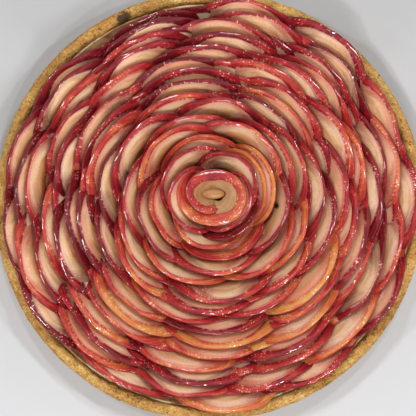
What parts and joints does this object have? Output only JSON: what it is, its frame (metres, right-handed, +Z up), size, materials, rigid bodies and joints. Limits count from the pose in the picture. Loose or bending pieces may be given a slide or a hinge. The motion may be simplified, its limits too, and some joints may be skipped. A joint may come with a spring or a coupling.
{
  "type": "apple rosette tart",
  "caption": "Round shortcrust tart filled with thin red-skinned fruit slices stood on edge in turns round a rolled bud, like an open rose.",
  "frame": {"origin": "centre of the shell's underside, where the tart rests", "axes": "+Z up out of the rosette, +X to the right and +Y to the top of the picture, which looks straight down"},
  "size_m": [0.24, 0.24, 0.0422],
  "materials": {
    "pastry": null,
    "filling": null,
    "red_skinned_slices": null,
    "golden_skinned_slices": null,
    "bud_flesh": null
  },
  "bodies": {
    "root": {"pastry_shell": "pastry", "filling": "filling", "slices_turn_01": "red_skinned_slices", "slices_turn_02": "red_skinned_slices", "slices_turn_03": "red_skinned_slices", "slices_turn_04": "red_skinned_slices", "slices_turn_05": "red_skinned_slices", "slices_turn_06": "red_skinned_slices", "slices_turn_07": "red_skinned_slices", "slices_turn_08": "red_skinned_slices", "slices_turn_09": "red_skinned_slices", "slices_turn_10": "red_skinned_slices", "slices_turn_11": "red_skinned_slices", "slices_turn_12": "red_skinned_slices", "slice_13_a": "golden_skinned_slices", "slice_13_b": "golden_skinned_slices", "slice_13_c": "golden_skinned_slices", "slice_13_d": "golden_skinned_slices", "slice_14_a": "golden_skinned_slices", "slice_14_b": "golden_skinned_slices", "slice_14_c": "golden_skinned_slices", "slice_14_d": "golden_skinned_slices", "slice_15_a": "golden_skinned_slices", "slice_15_b": "golden_skinned_slices", "slice_15_c": "golden_skinned_slices", "petal": "red_skinned_slices", "bud": "bud_flesh"}
  },
  "joints": []
}
